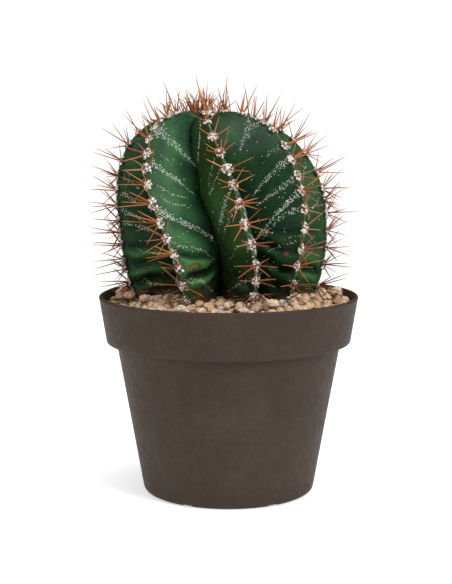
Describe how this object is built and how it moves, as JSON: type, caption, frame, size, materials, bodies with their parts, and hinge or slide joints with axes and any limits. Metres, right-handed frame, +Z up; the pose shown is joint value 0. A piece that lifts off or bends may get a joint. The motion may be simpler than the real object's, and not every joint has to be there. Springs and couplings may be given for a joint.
{
  "type": "potted round cactus",
  "caption": "Round ribbed cactus with woolly areoles and copper-brown spines, in a plain tapered plastic pot with a stone top dressing.",
  "frame": {"origin": "centre of the pot's flat underside, where the pot's axis meets the surface it stands on", "axes": "+Z up along the pot's axis, -Y towards the front of the plant, +X to the right"},
  "size_m": [0.2221, 0.2209, 0.3208],
  "materials": {
    "pot_plastic": "matt, faintly mottled taupe",
    "potting_mix": "crumbly, dark",
    "pumice_stones": "rough, porous",
    "stem_skin": "waxy living skin, satin",
    "spines": "dry, satin"
  },
  "bodies": {
    "root": {"pot": "pot_plastic", "potting_soil": "potting_mix", "gravel_bed": "pumice_stones", "cactus_stem": "stem_skin", "spine_row_far_left": "spines", "spine_row_left_front": "spines", "spine_row_centre_front": "spines", "spine_row_right_front": "spines", "spine_row_far_right": "spines", "spine_row_right_back": "spines", "spine_row_centre_back": "spines", "spine_row_left_back": "spines", "crown_spines": "spines", "loose_stone_01": "pumice_stones", "loose_stone_02": "pumice_stones", "loose_stone_03": "pumice_stones", "loose_stone_04": "pumice_stones", "loose_stone_05": "pumice_stones", "loose_stone_06": "pumice_stones", "loose_stone_07": "pumice_stones", "loose_stone_08": "pumice_stones", "loose_stone_09": "pumice_stones", "loose_stone_10": "pumice_stones", "loose_stone_11": "pumice_stones", "loose_stone_12": "pumice_stones", "loose_stone_13": "pumice_stones", "loose_stone_14": "pumice_stones", "loose_stone_15": "pumice_stones", "loose_stone_16": "pumice_stones", "loose_stone_17": "pumice_stones", "loose_stone_18": "pumice_stones", "loose_stone_19": "pumice_stones", "loose_stone_20": "pumice_stones", "loose_stone_21": "pumice_stones", "loose_stone_22": "pumice_stones", "loose_stone_23": "pumice_stones", "loose_stone_24": "pumice_stones"}
  },
  "joints": []
}
